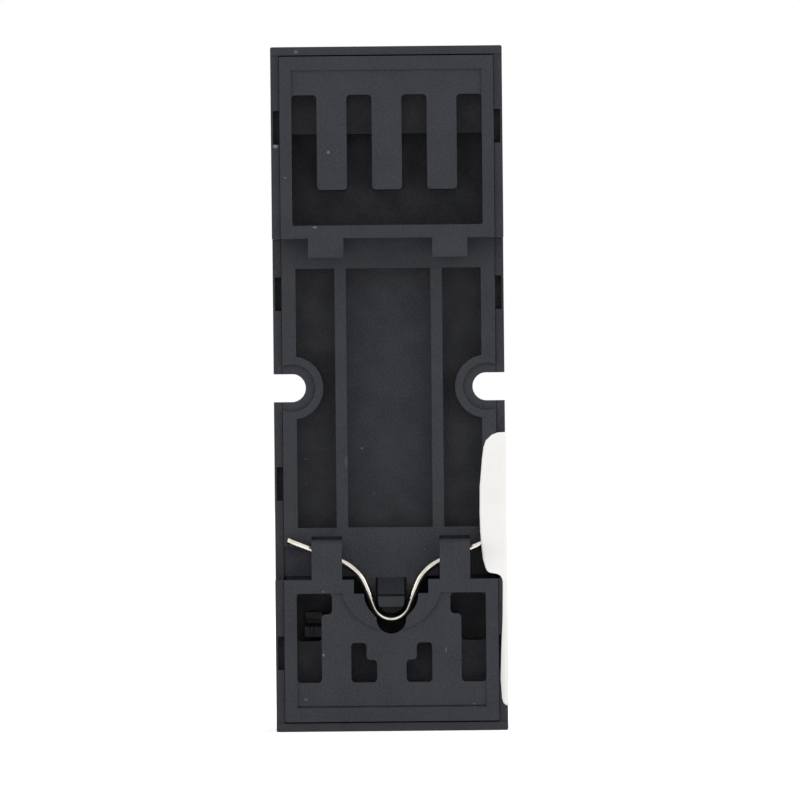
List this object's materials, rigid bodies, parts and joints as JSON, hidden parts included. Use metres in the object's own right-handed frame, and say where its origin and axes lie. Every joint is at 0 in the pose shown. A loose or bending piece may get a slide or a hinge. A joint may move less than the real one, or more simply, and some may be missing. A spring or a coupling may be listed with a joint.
{
  "type": "relay socket",
  "caption": "Dark plug-in relay socket for a DIN rail, with stepped rows of screw terminals, a ribbed rail slot with hooks and tabs, a bent wire rail spring and a plain white side label.",
  "frame": {"origin": "middle of the bounding box at the bottom end", "axes": "+Z along the socket towards its upper end, -Y out of the back that faces the rail, +X across, to the right when the back is looked at"},
  "size_m": [0.0265, 0.031, 0.0777],
  "materials": {
    "housing_plastic": "moulded",
    "base_plastic": "moulded",
    "spring_wire": "bright wire",
    "label_paper": "matte",
    "screw_steel": "zinc plated",
    "cage_steel": "zinc plated",
    "contact_brass": "satin"
  },
  "bodies": {
    "socket": {"housing": "housing_plastic", "base": "base_plastic", "rail_spring": "spring_wire", "side_label": "label_paper", "contact_no_1": "contact_brass", "contact_no_2": "contact_brass", "contact_no_3": "contact_brass", "contact_no_4": "contact_brass", "contact_nc_1": "contact_brass", "contact_nc_2": "contact_brass", "contact_nc_3": "contact_brass", "contact_nc_4": "contact_brass", "contact_com_1": "contact_brass", "contact_com_2": "contact_brass", "contact_com_3": "contact_brass", "contact_com_4": "contact_brass", "contact_coil_1": "contact_brass", "contact_coil_2": "contact_brass"},
    "screw_no_1": {"screw_no_1": "screw_steel"},
    "cage_no_1": {"cage_no_1": "cage_steel"},
    "screw_no_2": {"screw_no_2": "screw_steel"},
    "cage_no_2": {"cage_no_2": "cage_steel"},
    "screw_no_3": {"screw_no_3": "screw_steel"},
    "cage_no_3": {"cage_no_3": "cage_steel"},
    "screw_no_4": {"screw_no_4": "screw_steel"},
    "cage_no_4": {"cage_no_4": "cage_steel"},
    "screw_nc_1": {"screw_nc_1": "screw_steel"},
    "cage_nc_1": {"cage_nc_1": "cage_steel"},
    "screw_nc_2": {"screw_nc_2": "screw_steel"},
    "cage_nc_2": {"cage_nc_2": "cage_steel"},
    "screw_nc_3": {"screw_nc_3": "screw_steel"},
    "cage_nc_3": {"cage_nc_3": "cage_steel"},
    "screw_nc_4": {"screw_nc_4": "screw_steel"},
    "cage_nc_4": {"cage_nc_4": "cage_steel"},
    "screw_com_1": {"screw_com_1": "screw_steel"},
    "cage_com_1": {"cage_com_1": "cage_steel"},
    "screw_com_2": {"screw_com_2": "screw_steel"},
    "cage_com_2": {"cage_com_2": "cage_steel"},
    "screw_com_3": {"screw_com_3": "screw_steel"},
    "cage_com_3": {"cage_com_3": "cage_steel"},
    "screw_com_4": {"screw_com_4": "screw_steel"},
    "cage_com_4": {"cage_com_4": "cage_steel"},
    "screw_coil_1": {"screw_coil_1": "screw_steel"},
    "cage_coil_1": {"cage_coil_1": "cage_steel"},
    "screw_coil_2": {"screw_coil_2": "screw_steel"},
    "cage_coil_2": {"cage_coil_2": "cage_steel"}
  },
  "joints": [
    {"name": "screw_no_1_turn", "type": "hinge", "parent": "socket", "child": "screw_no_1", "pos_m": [-0.00937, 0.004, 0.07155], "axis": [0, -1, 0], "range_deg": [0, 1800]},
    {"name": "cage_no_1_rise", "type": "slide", "parent": "socket", "child": "cage_no_1", "axis": [0, 1, 0], "range_m": [0, 0.0025]},
    {"name": "screw_no_2_turn", "type": "hinge", "parent": "socket", "child": "screw_no_2", "pos_m": [-0.00313, 0.004, 0.07155], "axis": [0, -1, 0], "range_deg": [0, 1800]},
    {"name": "cage_no_2_rise", "type": "slide", "parent": "socket", "child": "cage_no_2", "axis": [0, 1, 0], "range_m": [0, 0.0025]},
    {"name": "screw_no_3_turn", "type": "hinge", "parent": "socket", "child": "screw_no_3", "pos_m": [0.00313, 0.004, 0.07155], "axis": [0, -1, 0], "range_deg": [0, 1800]},
    {"name": "cage_no_3_rise", "type": "slide", "parent": "socket", "child": "cage_no_3", "axis": [0, 1, 0], "range_m": [0, 0.0025]},
    {"name": "screw_no_4_turn", "type": "hinge", "parent": "socket", "child": "screw_no_4", "pos_m": [0.00937, 0.004, 0.07155], "axis": [0, -1, 0], "range_deg": [0, 1800]},
    {"name": "cage_no_4_rise", "type": "slide", "parent": "socket", "child": "cage_no_4", "axis": [0, 1, 0], "range_m": [0, 0.0025]},
    {"name": "screw_nc_1_turn", "type": "hinge", "parent": "socket", "child": "screw_nc_1", "pos_m": [-0.00937, 0.0155, 0.06], "axis": [0, -1, 0], "range_deg": [0, 1800]},
    {"name": "cage_nc_1_rise", "type": "slide", "parent": "socket", "child": "cage_nc_1", "axis": [0, 1, 0], "range_m": [0, 0.0025]},
    {"name": "screw_nc_2_turn", "type": "hinge", "parent": "socket", "child": "screw_nc_2", "pos_m": [-0.00313, 0.0155, 0.06], "axis": [0, -1, 0], "range_deg": [0, 1800]},
    {"name": "cage_nc_2_rise", "type": "slide", "parent": "socket", "child": "cage_nc_2", "axis": [0, 1, 0], "range_m": [0, 0.0025]},
    {"name": "screw_nc_3_turn", "type": "hinge", "parent": "socket", "child": "screw_nc_3", "pos_m": [0.00313, 0.0155, 0.06], "axis": [0, -1, 0], "range_deg": [0, 1800]},
    {"name": "cage_nc_3_rise", "type": "slide", "parent": "socket", "child": "cage_nc_3", "axis": [0, 1, 0], "range_m": [0, 0.0025]},
    {"name": "screw_nc_4_turn", "type": "hinge", "parent": "socket", "child": "screw_nc_4", "pos_m": [0.00937, 0.0155, 0.06], "axis": [0, -1, 0], "range_deg": [0, 1800]},
    {"name": "cage_nc_4_rise", "type": "slide", "parent": "socket", "child": "cage_nc_4", "axis": [0, 1, 0], "range_m": [0, 0.0025]},
    {"name": "screw_com_1_turn", "type": "hinge", "parent": "socket", "child": "screw_com_1", "pos_m": [-0.00937, 0.004, 0.0062], "axis": [0, -1, 0], "range_deg": [0, 1800]},
    {"name": "cage_com_1_rise", "type": "slide", "parent": "socket", "child": "cage_com_1", "axis": [0, 1, 0], "range_m": [0, 0.0025]},
    {"name": "screw_com_2_turn", "type": "hinge", "parent": "socket", "child": "screw_com_2", "pos_m": [-0.00313, 0.004, 0.0062], "axis": [0, -1, 0], "range_deg": [0, 1800]},
    {"name": "cage_com_2_rise", "type": "slide", "parent": "socket", "child": "cage_com_2", "axis": [0, 1, 0], "range_m": [0, 0.0025]},
    {"name": "screw_com_3_turn", "type": "hinge", "parent": "socket", "child": "screw_com_3", "pos_m": [0.00313, 0.004, 0.0062], "axis": [0, -1, 0], "range_deg": [0, 1800]},
    {"name": "cage_com_3_rise", "type": "slide", "parent": "socket", "child": "cage_com_3", "axis": [0, 1, 0], "range_m": [0, 0.0025]},
    {"name": "screw_com_4_turn", "type": "hinge", "parent": "socket", "child": "screw_com_4", "pos_m": [0.00937, 0.004, 0.0062], "axis": [0, -1, 0], "range_deg": [0, 1800]},
    {"name": "cage_com_4_rise", "type": "slide", "parent": "socket", "child": "cage_com_4", "axis": [0, 1, 0], "range_m": [0, 0.0025]},
    {"name": "screw_coil_1_turn", "type": "hinge", "parent": "socket", "child": "screw_coil_1", "pos_m": [-0.00937, 0.0155, 0.0155], "axis": [0, -1, 0], "range_deg": [0, 1800]},
    {"name": "cage_coil_1_rise", "type": "slide", "parent": "socket", "child": "cage_coil_1", "axis": [0, 1, 0], "range_m": [0, 0.0025]},
    {"name": "screw_coil_2_turn", "type": "hinge", "parent": "socket", "child": "screw_coil_2", "pos_m": [0.00937, 0.0155, 0.0155], "axis": [0, -1, 0], "range_deg": [0, 1800]},
    {"name": "cage_coil_2_rise", "type": "slide", "parent": "socket", "child": "cage_coil_2", "axis": [0, 1, 0], "range_m": [0, 0.0025]}
  ],
  "couplings": [
    {"joint": "screw_no_1_turn", "follows": "cage_no_1_rise", "rad_per_m": 12566},
    {"joint": "screw_no_2_turn", "follows": "cage_no_2_rise", "rad_per_m": 12566},
    {"joint": "screw_no_3_turn", "follows": "cage_no_3_rise", "rad_per_m": 12566},
    {"joint": "screw_no_4_turn", "follows": "cage_no_4_rise", "rad_per_m": 12566},
    {"joint": "screw_nc_1_turn", "follows": "cage_nc_1_rise", "rad_per_m": 12566},
    {"joint": "screw_nc_2_turn", "follows": "cage_nc_2_rise", "rad_per_m": 12566},
    {"joint": "screw_nc_3_turn", "follows": "cage_nc_3_rise", "rad_per_m": 12566},
    {"joint": "screw_nc_4_turn", "follows": "cage_nc_4_rise", "rad_per_m": 12566},
    {"joint": "screw_com_1_turn", "follows": "cage_com_1_rise", "rad_per_m": 12566},
    {"joint": "screw_com_2_turn", "follows": "cage_com_2_rise", "rad_per_m": 12566},
    {"joint": "screw_com_3_turn", "follows": "cage_com_3_rise", "rad_per_m": 12566},
    {"joint": "screw_com_4_turn", "follows": "cage_com_4_rise", "rad_per_m": 12566},
    {"joint": "screw_coil_1_turn", "follows": "cage_coil_1_rise", "rad_per_m": 12566},
    {"joint": "screw_coil_2_turn", "follows": "cage_coil_2_rise", "rad_per_m": 12566}
  ]
}
